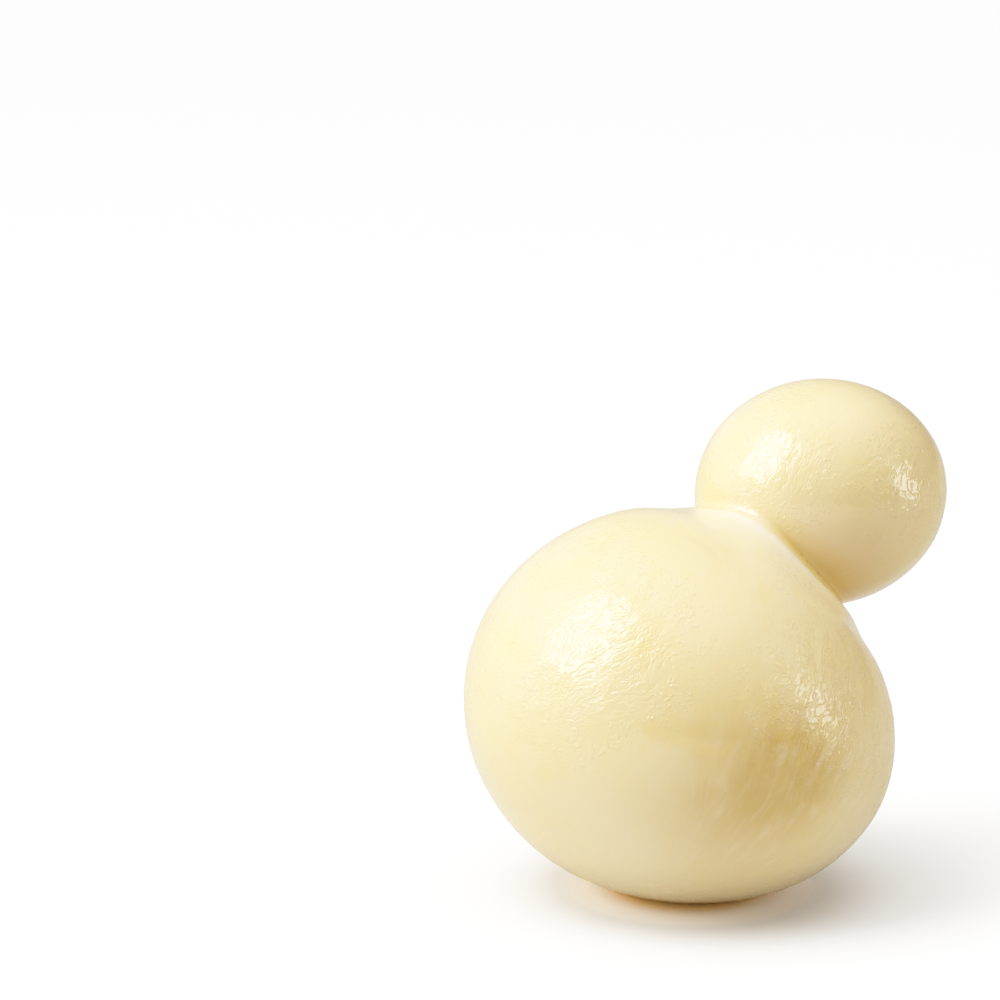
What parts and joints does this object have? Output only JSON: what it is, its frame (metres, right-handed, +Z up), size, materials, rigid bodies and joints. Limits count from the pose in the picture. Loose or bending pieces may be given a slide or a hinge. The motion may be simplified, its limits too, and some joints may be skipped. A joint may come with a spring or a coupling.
{
  "type": "scamorza",
  "caption": "Pear-shaped stretched-curd cheese: a large round body with a smaller round head pinched off it, lying tipped on its side.",
  "frame": {"origin": "middle of the small flat spot under the body, on the surface that the cheese rests on", "axes": "+Z up, +X to the right of the front view, towards which the head leans, +Y away from the front, towards which the head also leans"},
  "size_m": [0.0897, 0.0834, 0.0926],
  "materials": {
    "cheese": "pale cream-yellow stretched curd with a moist, satin-glossy, finely crinkled skin; slightly translucent"
  },
  "bodies": {
    "root": {"cheese": "cheese"}
  },
  "joints": []
}
